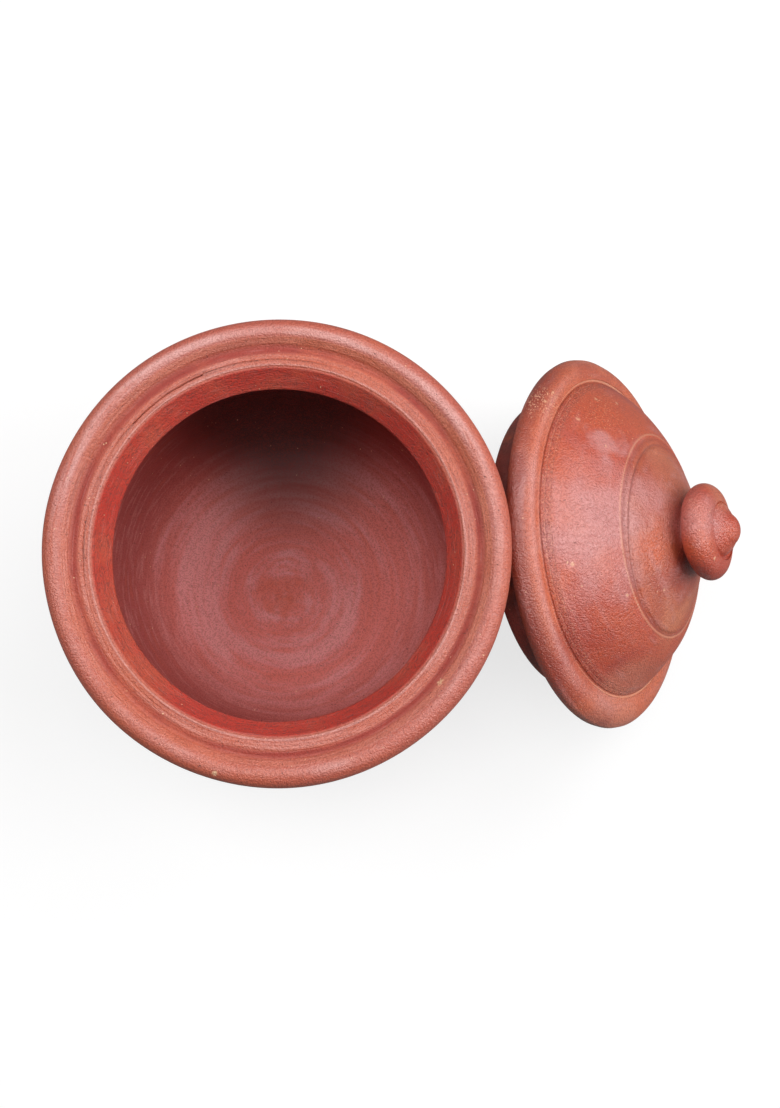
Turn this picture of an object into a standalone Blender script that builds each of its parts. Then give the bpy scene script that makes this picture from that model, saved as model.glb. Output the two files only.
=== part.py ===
# Clay curd pot: a wheel-thrown terracotta pot and its lid, taken off and leaned on the pot's lip.
import math

import bmesh
import bpy

# Both pieces are turned with this many sides.
TURNED_SIDES = 56

# The pot's body, from the table up.
POT_HEIGHT = 0.148
BASE_RADIUS = 0.0575
BASE_ROUND = 0.0045
BELLY_RADIUS = 0.097
BELLY_HEIGHT = 0.074
NECK_RADIUS = 0.0792
NECK_HEIGHT = 0.127
WALL = 0.0075
FLOOR_THICKNESS = 0.010

# Rings that the thrower's fingers left on the floor of the pot.
FINGER_RING_PITCH = 0.0125
FINGER_RING_HEIGHT = 0.0004
FINGER_RINGS = 4

# The lip is a thick round bead. Inside it a hollow seat and a narrow ledge hold the lid,
# and the throat falls from the ledge like a funnel.
LIP_RADIUS = 0.095
LIP_ROUND = 0.006
SEAT_RADIUS = 0.0818
SEAT_HOLLOW = 0.0014
SEAT_DEPTH = 0.0066
LEDGE_INNER_RADIUS = 0.0755
LEDGE_OUTER_RADIUS = 0.0788
LEDGE_RISE = 0.0022
LEDGE_ROUND = 0.0009
LEDGE_LINE = (0.0763, 0.0012, 0.0004)
THROAT_TOP_RADIUS = 0.0744
THROAT_TOP_DROP = 0.0011
THROAT_RADIUS = 0.0681
THROAT_DROP = 0.0105
THROAT_ROUND = 0.0016
THROAT_UNDERCUT = 0.0074

# The lid's rim, dome and skirt, measured from the middle of its rounded edge up its own axis.
LID_INSET = 0.0050
LID_EDGE_ROUND = 0.0035
RIM_CREST_RADIUS = 0.0752
RIM_CREST_HEIGHT = 0.0073
DOME_FOOT_RADIUS = 0.0710
DOME_FOOT_HEIGHT = 0.0074
CROWN_RADIUS = 0.0460
CROWN_HEIGHT = 0.0290
COVE_RADIUS = 0.0190
COVE_HEIGHT = 0.0412
LID_WALL = 0.0078
SKIRT_CLEARANCE = 0.0019
SKIRT_DEPTH = 0.0200
SKIRT_THICKNESS = 0.0065
SKIRT_FILLET = 0.0015
SKIRT_END_ROUND = 0.0020

# Lines cut into the turning clay: radius, width and depth of each.
FOOT_LINE = (0.0716, 0.0018, 0.0011)
FINE_FOOT_LINE = (0.0690, 0.0010, 0.0004)
OUTER_CROWN_LINE = (0.0462, 0.0012, 0.0006)
INNER_CROWN_LINE = (0.0428, 0.0024, 0.0009)

# The knob is a fat ring on a pinched neck, with a small cone rising from the groove in its top.
KNOB_NECK_RADIUS = 0.0117
KNOB_NECK_FLARE = 0.0030
KNOB_NECK_LIFT = 0.0010
KNOB_RADIUS = 0.0208
KNOB_ROUND = 0.0077
KNOB_HEIGHT = 0.0521
KNOB_GROOVE_RADIUS = 0.0094
KNOB_GROOVE_HEIGHT = 0.0584
CONE_RADIUS = 0.0086
CONE_FOOT_HEIGHT = 0.0600
TIP_HEIGHT = 0.0658
TIP_ROUND = 0.0022

# How the lid leans: its edge touches this far below the middle of the lip, all but this gap.
EDGE_DROP = 0.0061
TOUCH_GAP = 0.0003

# The lid drops inside the lip, and its skirt drops through the throat.
LID_RADIUS = LIP_RADIUS - LIP_ROUND - LID_INSET
SKIRT_RADIUS = THROAT_RADIUS - SKIRT_CLEARANCE


def arc(centre, radius, start, end, count):
    """Points round an arc, with the angles in degrees from +X."""
    points = []
    for index in range(count + 1):
        angle = math.radians(start + (end - start) * index / count)
        points.append((centre[0] + radius * math.cos(angle), centre[1] + radius * math.sin(angle)))
    return points


def bend(start, start_share, end_share, end, count):
    """Points inside a smooth curve. Each share is how far across and up its pull lies, from start to end."""
    span = (end[0] - start[0], end[1] - start[1])
    pulls = [(start[0] + span[0] * share[0], start[1] + span[1] * share[1]) for share in (start_share, end_share)]
    corners = (start, *pulls, end)
    points = []
    for index in range(1, count):
        t = index / count
        weights = ((1 - t) ** 3, 3 * t * (1 - t) ** 2, 3 * t * t * (1 - t), t ** 3)
        points.append(tuple(sum(w * p[axis] for w, p in zip(weights, corners)) for axis in (0, 1)))
    return points


def height_on(outline, radius):
    """Height of an outline that runs outwards, at one radius."""
    for inner, outer in zip(outline, outline[1:]):
        if inner[0] <= radius <= outer[0]:
            share = (radius - inner[0]) / (outer[0] - inner[0])
            return inner[1] + share * (outer[1] - inner[1])
    raise ValueError("the cut line lies off the outline")


def cut_line(outline, line):
    """The outline with a small V cut down into it."""
    radius, width, depth = line
    inner = radius - width / 2
    outer = radius + width / 2
    groove = [
        (inner, height_on(outline, inner)),
        (radius, height_on(outline, radius) - depth),
        (outer, height_on(outline, outer)),
    ]
    before = [point for point in outline if point[0] < inner]
    after = [point for point in outline if point[0] > outer]
    return before + groove + after


def pot_outline():
    """The pot's section: from the middle of the floor up the inside, over the lip and down the outside."""
    seat_height = POT_HEIGHT - SEAT_DEPTH
    ledge_height = seat_height + LEDGE_RISE
    throat_height = ledge_height - THROAT_DROP

    floor = [(0.0, FLOOR_THICKNESS)]
    for half_turn in range(1, 2 * FINGER_RINGS + 1):
        rise = FINGER_RING_HEIGHT if half_turn % 2 else 0.0
        floor.append((half_turn * FINGER_RING_PITCH / 2, FLOOR_THICKNESS + rise))

    inner_belly = (BELLY_RADIUS - WALL, BELLY_HEIGHT)
    under_throat = (THROAT_RADIUS + 2 * THROAT_ROUND, throat_height - THROAT_UNDERCUT)
    inside = bend(floor[-1], (0.55, 0.0), (1.0, 0.47), inner_belly, 7)
    inside.append(inner_belly)
    inside += bend(inner_belly, (0.0, 0.5), (0.8, 0.72), under_throat, 5)
    inside.append(under_throat)

    throat = arc((THROAT_RADIUS + THROAT_ROUND, throat_height), THROAT_ROUND, 205, 140, 3)
    ledge = [(THROAT_TOP_RADIUS, ledge_height - THROAT_TOP_DROP), (LEDGE_INNER_RADIUS, ledge_height)]
    ledge += arc((LEDGE_OUTER_RADIUS, ledge_height - LEDGE_ROUND), LEDGE_ROUND, 90, 10, 2)
    ledge = cut_line(ledge, LEDGE_LINE)
    seat = arc((SEAT_RADIUS, seat_height + SEAT_HOLLOW), SEAT_HOLLOW, 225, 315, 3)

    lip = arc((LIP_RADIUS - LIP_ROUND, POT_HEIGHT - LIP_ROUND), LIP_ROUND, 126, -72, 11)
    neck = (NECK_RADIUS, NECK_HEIGHT)
    under_lip = bend(lip[-1], (0.68, 0.33), (1.0, 0.4), neck, 4)
    belly = (BELLY_RADIUS, BELLY_HEIGHT)
    shoulder = bend(neck, (0.02, 0.28), (1.0, 0.51), belly, 6)
    base = arc((BASE_RADIUS - BASE_ROUND, BASE_ROUND), BASE_ROUND, -42, -90, 3)
    below = bend(belly, (0.0, 0.45), (0.48, 0.8), base[0], 8)
    base.append((0.0, 0.0))

    return floor + inside + throat + ledge + seat + lip + under_lip + [neck] + shoulder + [belly] + below + base


def lid_outline():
    """The lid's section: from the tip of the knob down the outside, round the edge and up the hollow."""
    knob_tip = arc((0.0, TIP_HEIGHT - TIP_ROUND), TIP_ROUND, 90, 48, 2)
    knob_tip += [(CONE_RADIUS, CONE_FOOT_HEIGHT), (KNOB_GROOVE_RADIUS, KNOB_GROOVE_HEIGHT)]
    knob = arc((KNOB_RADIUS - KNOB_ROUND, KNOB_HEIGHT), KNOB_ROUND, 118, -110, 11)
    cove = (COVE_RADIUS, COVE_HEIGHT)
    crown = (CROWN_RADIUS, CROWN_HEIGHT)

    neck_foot = (KNOB_NECK_RADIUS + KNOB_NECK_FLARE, COVE_HEIGHT + KNOB_NECK_LIFT + KNOB_NECK_FLARE)
    top = arc(neck_foot, KNOB_NECK_FLARE, 200, 262, 3)
    top.append(cove)
    top += bend(cove, (0.33, 0.29), (0.67, 0.63), crown, 3)
    top.append(crown)
    foot = (DOME_FOOT_RADIUS, DOME_FOOT_HEIGHT)
    top += bend(crown, (0.4, 0.23), (0.78, 0.64), foot, 6)
    crest = (RIM_CREST_RADIUS, RIM_CREST_HEIGHT)
    edge_centre = (LID_RADIUS - LID_EDGE_ROUND, 0.0)
    edge = arc(edge_centre, LID_EDGE_ROUND, 45, -90, 9)
    top += [foot, crest]
    top += bend(crest, (0.42, 0.06), (0.85, 0.55), edge[0], 3)
    for line in (INNER_CROWN_LINE, OUTER_CROWN_LINE, FINE_FOOT_LINE, FOOT_LINE):
        top = cut_line(top, line)

    corner = (SKIRT_RADIUS + SKIRT_FILLET, -LID_EDGE_ROUND - SKIRT_FILLET)
    fillet = arc(corner, SKIRT_FILLET, 90, 180, 3)
    skirt_inside = SKIRT_RADIUS - SKIRT_THICKNESS
    end_height = SKIRT_END_ROUND - SKIRT_DEPTH
    skirt = arc((SKIRT_RADIUS - SKIRT_END_ROUND, end_height), SKIRT_END_ROUND, 0, -90, 3)
    skirt += arc((skirt_inside + SKIRT_END_ROUND, end_height), SKIRT_END_ROUND, -90, -180, 3)
    hollow_foot = (skirt_inside, -LID_EDGE_ROUND - SKIRT_FILLET)
    hollow_top = (0.0, COVE_HEIGHT - LID_WALL)
    hollow = [hollow_foot]
    hollow += bend(hollow_foot, (0.0, 0.58), (0.53, 1.0), hollow_top, 7)
    hollow.append(hollow_top)

    return knob_tip + knob + top + edge + fillet + skirt + hollow


def clay(name, colour, roughness):
    """A matte fired-clay material."""
    material = bpy.data.materials.new(name)
    material.use_nodes = True
    shader = material.node_tree.nodes["Principled BSDF"]
    shader.inputs["Base Color"].default_value = (*colour, 1.0)
    shader.inputs["Roughness"].default_value = roughness
    shader.inputs["Metallic"].default_value = 0.0
    return material


def turned(name, outline, material, collection):
    """A solid of revolution about its own Z axis."""
    build = bmesh.new()
    corners = [build.verts.new((radius, 0.0, height)) for radius, height in outline]
    for first, second in zip(corners, corners[1:]):
        build.edges.new((first, second))
    mesh = bpy.data.meshes.new(name)
    build.to_mesh(mesh)
    build.free()
    mesh.materials.append(material)

    piece = bpy.data.objects.new(name, mesh)
    collection.objects.link(piece)
    screw = piece.modifiers.new("Turn", "SCREW")
    screw.axis = "Z"
    screw.angle = math.tau
    screw.steps = TURNED_SIDES
    screw.render_steps = TURNED_SIDES
    screw.use_merge_vertices = True
    screw.merge_threshold = 0.00005
    screw.use_smooth_shade = True
    return piece


def lean_on_lip(piece):
    """Stands the lid on its edge, with the opposite edge against the pot's lip on the +X side."""
    reach = LID_RADIUS - LID_EDGE_ROUND
    upper_edge_height = POT_HEIGHT - LIP_ROUND - EDGE_DROP
    tilt = math.asin((upper_edge_height - LID_EDGE_ROUND) / (2 * reach))
    apart = LIP_ROUND + LID_EDGE_ROUND + TOUCH_GAP
    upper_edge_x = LIP_RADIUS - LIP_ROUND + math.sqrt(apart ** 2 - EDGE_DROP ** 2)
    piece.location = (upper_edge_x + reach * math.cos(tilt), 0.0, (upper_edge_height + LID_EDGE_ROUND) / 2)
    piece.rotation_euler = (0.0, tilt, 0.0)


for old in list(bpy.data.objects):
    bpy.data.objects.remove(old, do_unlink=True)

curd_pot = bpy.data.collections.new("clay_curd_pot")
bpy.context.scene.collection.children.link(curd_pot)

pot_clay = clay("pot_terracotta", (0.46, 0.145, 0.085), 0.74)
lid_clay = clay("lid_terracotta", (0.50, 0.165, 0.100), 0.70)
pot = turned("pot", pot_outline(), pot_clay, curd_pot)
lid = turned("lid", lid_outline(), lid_clay, curd_pot)
lean_on_lip(lid)
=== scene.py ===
import math

import bpy
import numpy as np
from mathutils import Matrix, Vector


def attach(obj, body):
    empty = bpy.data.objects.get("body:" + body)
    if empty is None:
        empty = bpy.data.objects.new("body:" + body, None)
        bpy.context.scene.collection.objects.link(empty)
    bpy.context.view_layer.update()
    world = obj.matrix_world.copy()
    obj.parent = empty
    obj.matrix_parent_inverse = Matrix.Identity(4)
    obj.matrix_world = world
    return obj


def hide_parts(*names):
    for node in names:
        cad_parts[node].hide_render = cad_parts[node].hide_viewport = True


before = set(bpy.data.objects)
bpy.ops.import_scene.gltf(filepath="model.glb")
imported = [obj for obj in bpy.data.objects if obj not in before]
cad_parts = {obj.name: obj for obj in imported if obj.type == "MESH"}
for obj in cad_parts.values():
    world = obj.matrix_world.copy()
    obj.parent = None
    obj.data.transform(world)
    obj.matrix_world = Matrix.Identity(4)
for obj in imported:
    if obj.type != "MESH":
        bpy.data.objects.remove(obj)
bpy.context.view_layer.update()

# The pot. One lump of river clay, thrown on the wheel, turned at the foot and fired once without
# glaze. Its thick round lip, the hollow seat, the narrow ledge and the funnel of the throat were
# all pressed in by the thrower's fingers, and hold the lid.
POT_SIDES = 320
POT_HEIGHT = 0.148
BASE_RADIUS, BASE_ROUND = 0.0575, 0.0045
BELLY_RADIUS, BELLY_HEIGHT = 0.097, 0.074
NECK_RADIUS, NECK_HEIGHT = 0.0792, 0.127
POT_WALL, FLOOR_THICKNESS = 0.0075, 0.010
LIP_RADIUS, LIP_ROUND = 0.095, 0.006
LIP_CREST, LIP_INNER_ROUND = 0.0888, 0.0045
SEAT_RADIUS, SEAT_HOLLOW, SEAT_DEPTH = 0.0823, 0.0008, 0.0050
LEDGE_INNER, LEDGE_OUTER, LEDGE_RISE, LEDGE_ROUND = 0.0751, 0.0796, 0.0008, 0.0014
# Each line on the ledge: its radius, width and depth.
LEDGE_LINES = ((0.0767, 0.0010, 0.00045), (0.0785, 0.0007, 0.00015))
THROAT_TOP_RADIUS, THROAT_TOP_DROP = 0.0739, 0.0010
THROAT_RADIUS, THROAT_DROP, THROAT_ROUND, THROAT_UNDERCUT = 0.0675, 0.0105, 0.0016, 0.0074
THROAT_OFF_CENTRE = (0.0003, -0.0012)
FINGER_RING_PITCH, FINGER_RING_HEIGHT = 0.0125, 0.0004
RIDGE_PITCH, RIDGE_INSIDE, RIDGE_OUTSIDE = 0.0062, 0.00010, 0.00013
FLOOR_RIDGE_SHARE = 0.35
LIP_SAG, LIP_WOBBLE, LIP_LUMPS = 0.00034, 0.00013, 0.00007
SOFTENING_STEP, CLOSE_STEP, WIDE_STEP = 0.0001, 0.0005, 0.0022


def arc(centre, radius, start, end, count):
    """Points round an arc, with the angles in degrees from straight out."""
    turns = np.radians(np.linspace(start, end, count + 1))
    return [(centre[0] + radius * math.cos(a), centre[1] + radius * math.sin(a)) for a in turns]


def bend(start, start_share, end_share, end, count):
    """Points inside a smooth curve. Each share says how far across and up its pull lies."""
    start, end = np.array(start), np.array(end)
    span = end - start
    first, second = start + span * start_share, start + span * end_share
    shares = np.linspace(0, 1, count + 1)[1:-1, None]
    rest = 1 - shares
    points = rest ** 3 * start + 3 * shares * rest ** 2 * first
    points = points + 3 * shares ** 2 * rest * second + shares ** 3 * end
    return [tuple(point) for point in points]


def run(outline):
    """How far along the outline each of its points lies."""
    return np.concatenate([[0], np.cumsum(np.linalg.norm(np.diff(outline, axis=0), axis=1))])


def outward(outline):
    """The way out of the clay at each point of the outline."""
    away = np.gradient(outline, axis=0)
    lengths = np.maximum(np.linalg.norm(away, axis=1), 1e-9)
    out = np.stack([away[:, 1], -away[:, 0]], axis=1) / lengths[:, None]
    return out if anticlockwise(outline) else -out


def anticlockwise(outline):
    """Whether the outline, closed along the axis, runs anticlockwise."""
    return np.sum(outline[:-1, 0] * outline[1:, 1] - outline[1:, 0] * outline[:-1, 1]) > 0


def spot(outline, radius, height):
    """How far along the outline its nearest point to a radius and a height lies."""
    return run(outline)[np.argmin(np.hypot(outline[:, 0] - radius, outline[:, 1] - height))]


def softened(outline, step_at, soft):
    """The outline with even points, and its corners worn round, as wet clay leaves them."""
    points = np.array(outline)
    close = np.arange(0, run(points)[-1], SOFTENING_STEP)
    line = np.stack([np.interp(close, run(points), points[:, axis]) for axis in (0, 1)], axis=1)
    reach = int(soft / SOFTENING_STEP)
    weights = np.hanning(2 * reach + 3)[1:-1]
    weights /= weights.sum()
    padded = np.concatenate([np.repeat(line[:1], reach, 0), line, np.repeat(line[-1:], reach, 0)])
    smooth = np.stack([np.convolve(padded[:, axis], weights, "valid") for axis in (0, 1)], axis=1)
    kept, since = [0], 0.0
    for index in range(1, len(smooth)):
        since += SOFTENING_STEP
        if since >= step_at(*smooth[index]) - 1e-9:
            kept.append(index)
            since = 0.0
    smooth[0] = points[0]
    return np.concatenate([smooth[kept], points[-1:]])


def cut(outline, place, width, depth, burr):
    """A line cut in at a place along the outline, and the low burr that the tool pushed up outside it."""
    gap = (run(outline) - place) / (width / 2)
    sunk = depth * np.clip(1 - np.abs(gap), 0, 1) ** 0.8 - burr * np.exp(-(((gap - 1.5) / 0.6) ** 2))
    return outline - outward(outline) * sunk[:, None]


def thrown(name, outline, sides, hand):
    """A turned piece. hand(radius, height, along, turn) says how far the clay lies under the outline."""
    out = outward(outline)
    along = run(outline)

    middle = outline[1:-1]
    turns = np.arange(sides) * math.tau / sides
    sunk = hand(middle[:, :1], middle[:, 1:], along[1:-1, None], turns[None, :])
    radii = middle[:, :1] - out[1:-1, :1] * sunk
    heights = middle[:, 1:] - out[1:-1, 1:] * sunk
    rings = np.stack([radii * np.cos(turns), radii * np.sin(turns), heights], axis=2)
    ends = np.array([(0, 0, outline[0][1]), (0, 0, outline[-1][1])])
    points = np.concatenate([rings.reshape(-1, 3), ends])

    count = len(middle)
    ring = np.arange(count - 1)[:, None] * sides
    side = np.arange(sides)[None, :]
    beyond = (side + 1) % sides
    faces = np.stack([ring + side, ring + sides + side, ring + sides + beyond, ring + beyond], axis=2)
    faces = faces.reshape(-1, 4).tolist()
    first, last, tail = count * sides, count * sides + 1, (count - 1) * sides
    faces += [(first, a, (a + 1) % sides) for a in range(sides)]
    faces += [(last, tail + (a + 1) % sides, tail + a) for a in range(sides)]
    if anticlockwise(outline):
        faces = [face[::-1] for face in faces]

    mesh = bpy.data.meshes.new(name)
    mesh.from_pydata(points.tolist(), [], faces)
    mesh.shade_smooth()
    on_wheel = mesh.attributes.new("place_on_wheel", "FLOAT_VECTOR", "POINT")
    on_wheel.data.foreach_set("vector", points.ravel())
    on_outline = mesh.attributes.new("along_outline", "FLOAT", "POINT")
    on_outline.data.foreach_set("value", np.append(np.repeat(along[1:-1], sides), [along[0], along[-1]]))
    mesh.update()
    piece = bpy.data.objects.new(name, mesh)
    bpy.context.scene.collection.objects.link(piece)
    return piece


def fade(values, start, end):
    """0 before start, 1 after end, and a smooth rise between."""
    share = np.clip((values - start) / (end - start), 0, 1)
    return share * share * (3 - 2 * share)


seat_height = POT_HEIGHT - SEAT_DEPTH
ledge_height = seat_height + LEDGE_RISE
throat_height = ledge_height - THROAT_DROP
pot_floor = [(0.0, FLOOR_THICKNESS), (4 * FINGER_RING_PITCH, FLOOR_THICKNESS)]
inner_belly = (BELLY_RADIUS - POT_WALL, BELLY_HEIGHT)
under_throat = (THROAT_RADIUS + 2 * THROAT_ROUND, throat_height - THROAT_UNDERCUT)
pot_inside = bend(pot_floor[-1], (0.55, 0.0), (1.0, 0.47), inner_belly, 40) + [inner_belly]
pot_inside += bend(inner_belly, (0.0, 0.5), (0.8, 0.72), under_throat, 30) + [under_throat]
throat = arc((THROAT_RADIUS + THROAT_ROUND, throat_height), THROAT_ROUND, 205, 140, 8)
ledge = [(THROAT_TOP_RADIUS, ledge_height - THROAT_TOP_DROP), (LEDGE_INNER, ledge_height)]
ledge += arc((LEDGE_OUTER, ledge_height - LEDGE_ROUND), LEDGE_ROUND, 90, 42, 6)
seat = arc((SEAT_RADIUS, seat_height + SEAT_HOLLOW), SEAT_HOLLOW, 225, 315, 8)
lip = arc((LIP_CREST, POT_HEIGHT - LIP_INNER_ROUND), LIP_INNER_ROUND, 134, 92, 12)
for across, up in arc((0.0, 0.0), 1.0, 90, 0, 18):
    lip.append((LIP_CREST + (LIP_RADIUS - LIP_CREST) * across, POT_HEIGHT - LIP_ROUND * (1 - up)))
lip += arc((LIP_RADIUS - LIP_ROUND, POT_HEIGHT - LIP_ROUND), LIP_ROUND, -4, -72, 18)
under_lip = bend(lip[-1], (0.68, 0.33), (1.0, 0.4), (NECK_RADIUS, NECK_HEIGHT), 20)
shoulder = bend((NECK_RADIUS, NECK_HEIGHT), (0.02, 0.28), (1.0, 0.51), (BELLY_RADIUS, BELLY_HEIGHT), 30)
base = arc((BASE_RADIUS - BASE_ROUND, BASE_ROUND), BASE_ROUND, -42, -90, 8)
below = bend((BELLY_RADIUS, BELLY_HEIGHT), (0.0, 0.45), (0.48, 0.8), base[0], 40)
pot_outline = pot_floor + pot_inside + throat + ledge + seat + lip + under_lip
pot_outline += [(NECK_RADIUS, NECK_HEIGHT)] + shoulder
pot_outline += [(BELLY_RADIUS, BELLY_HEIGHT)] + below + base + [(0.0, 0.0)]


def pot_step(radius, height):
    """Close points round the lip, the seat and the throat, and wide ones where the clay is plain."""
    return CLOSE_STEP if height > 0.128 and radius > 0.066 else WIDE_STEP


pot_outline = softened(pot_outline, pot_step, soft=0.0005)
for radius, width, depth in LEDGE_LINES:
    pot_outline = cut(pot_outline, spot(pot_outline, radius, ledge_height), width, depth, burr=depth / 4)
THROAT_PLACE = spot(pot_outline, THROAT_RADIUS, throat_height)
LEDGE_PLACE = spot(pot_outline, THROAT_TOP_RADIUS, ledge_height)
SEAT_PLACE = spot(pot_outline, SEAT_RADIUS, seat_height)
BEAD_PLACE = spot(pot_outline, *lip[0])
CREST_PLACE = spot(pot_outline, LIP_CREST, POT_HEIGHT)
NECK_PLACE = spot(pot_outline, NECK_RADIUS, NECK_HEIGHT)


def pot_hand(radius, height, along, turn):
    """Spiral finger ridges inside and out, and a lip that isn't quite round or level."""
    inside = 1 - fade(along, THROAT_PLACE - 0.020, THROAT_PLACE - 0.004)
    outside = fade(along, NECK_PLACE, NECK_PLACE + 0.012) * fade(height, 0.002, 0.020)
    on_floor = 1 - fade(radius, 0.045, 0.060)
    ridge = 1 - np.cos(math.tau * (along / RIDGE_PITCH + turn / math.tau))
    floor_ridge = 1 - np.cos(math.tau * (radius / FINGER_RING_PITCH + turn / math.tau))
    on_floor_spiral = on_floor * FINGER_RING_HEIGHT * FLOOR_RIDGE_SHARE * floor_ridge
    spiral = inside * (on_floor_spiral + (1 - on_floor) * RIDGE_INSIDE * ridge)
    spiral = spiral + outside * RIDGE_OUTSIDE * ridge
    uneven = LIP_SAG * (1 - np.cos(turn - 5.2)) + LIP_WOBBLE * (1 - np.cos(3 * (turn - 0.8)))
    lump = LIP_LUMPS * (1 - np.cos(7 * turn + 180 * along)) * (1 - np.cos(310 * along + 2 * np.sin(turn)))
    return spiral + fade(height, 0.100, 0.140) * (uneven + lump)


def moved(piece, share, x, y):
    """Moves each point of a piece sideways, by its own share of x and y."""
    places = points_of(piece)
    places[:, 0] += x * share
    places[:, 1] += y * share
    piece.data.vertices.foreach_set("co", places.ravel())


def points_of(piece):
    """Where the points of a piece lie."""
    places = np.empty(len(piece.data.vertices) * 3)
    piece.data.vertices.foreach_get("co", places)
    return places.reshape(-1, 3)


pot = thrown("pot_clay", pot_outline, POT_SIDES, pot_hand)
along = np.empty(len(pot.data.vertices))
pot.data.attributes["along_outline"].data.foreach_get("value", along)
up_to_ledge = 1 - fade(along, THROAT_PLACE, LEDGE_PLACE + 0.0050)
above_belly = fade(points_of(pot)[:, 2], 0.030, 0.090)
moved(pot, up_to_ledge * above_belly, *THROAT_OFF_CENTRE)


def add(nodes, kind, place, label="", **settings):
    """One shader node, with its settings, at a place on the node sheet."""
    node = nodes.new(kind)
    node.location = place
    if label:
        node.label = label
    for name, value in settings.items():
        setattr(node, name, value)
    return node


def group_of(name, inputs, outputs):
    """A new node group with named inputs and outputs."""
    tree = bpy.data.node_groups.new(name, "ShaderNodeTree")
    for label, kind, value in inputs:
        socket = tree.interface.new_socket(label, in_out="INPUT", socket_type=kind)
        if value is not None:
            socket.default_value = value
    for label, kind in outputs:
        tree.interface.new_socket(label, in_out="OUTPUT", socket_type=kind)
    start = add(tree.nodes, "NodeGroupInput", (-900, 0))
    end = add(tree.nodes, "NodeGroupOutput", (900, 0))
    return tree, start, end


def turned_lines_group():
    """Streaks that run round the wheel's axis, as fingers and a wet sponge leave them."""
    tree, start, end = group_of(
        "turned_lines",
        [
            ("Position", "NodeSocketVector", None),
            ("Across", "NodeSocketFloat", 400.0),
            ("Around", "NodeSocketFloat", 2.0),
            ("Detail", "NodeSocketFloat", 4.0),
            ("Waver", "NodeSocketFloat", 0.3),
        ],
        [("Lines", "NodeSocketFloat")],
    )
    nodes, links = tree.nodes, tree.links
    parts = add(nodes, "ShaderNodeSeparateXYZ", (-700, 0))
    flat = add(nodes, "ShaderNodeCombineXYZ", (-540, 100))
    length = add(nodes, "ShaderNodeVectorMath", (-380, 180), "radius", operation="LENGTH")
    unit = add(nodes, "ShaderNodeVectorMath", (-380, 20), "direction", operation="NORMALIZE")
    around = add(nodes, "ShaderNodeVectorMath", (-220, 20), operation="SCALE")
    across = add(nodes, "ShaderNodeMath", (-220, 180), operation="MULTIPLY")
    up = add(nodes, "ShaderNodeMath", (-220, -160), operation="MULTIPLY")
    lift = add(nodes, "ShaderNodeCombineXYZ", (-60, 180))
    place = add(nodes, "ShaderNodeVectorMath", (100, 60), operation="ADD")
    streaks = add(nodes, "ShaderNodeTexNoise", (300, 60), noise_dimensions="4D")
    streaks.inputs["Scale"].default_value = 1.0
    streaks.inputs["Roughness"].default_value = 0.62
    links.new(start.outputs["Position"], parts.inputs[0])
    links.new(parts.outputs["X"], flat.inputs["X"])
    links.new(parts.outputs["Y"], flat.inputs["Y"])
    links.new(flat.outputs[0], length.inputs[0])
    links.new(flat.outputs[0], unit.inputs[0])
    links.new(unit.outputs[0], around.inputs[0])
    links.new(start.outputs["Around"], around.inputs["Scale"])
    links.new(length.outputs["Value"], across.inputs[0])
    links.new(start.outputs["Across"], across.inputs[1])
    links.new(parts.outputs["Z"], up.inputs[0])
    links.new(start.outputs["Across"], up.inputs[1])
    links.new(across.outputs[0], lift.inputs["Z"])
    links.new(around.outputs[0], place.inputs[0])
    links.new(lift.outputs[0], place.inputs[1])
    links.new(place.outputs[0], streaks.inputs["Vector"])
    links.new(up.outputs[0], streaks.inputs["W"])
    links.new(start.outputs["Detail"], streaks.inputs["Detail"])
    links.new(start.outputs["Waver"], streaks.inputs["Distortion"])
    links.new(streaks.outputs[0], end.inputs["Lines"])
    return tree


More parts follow.
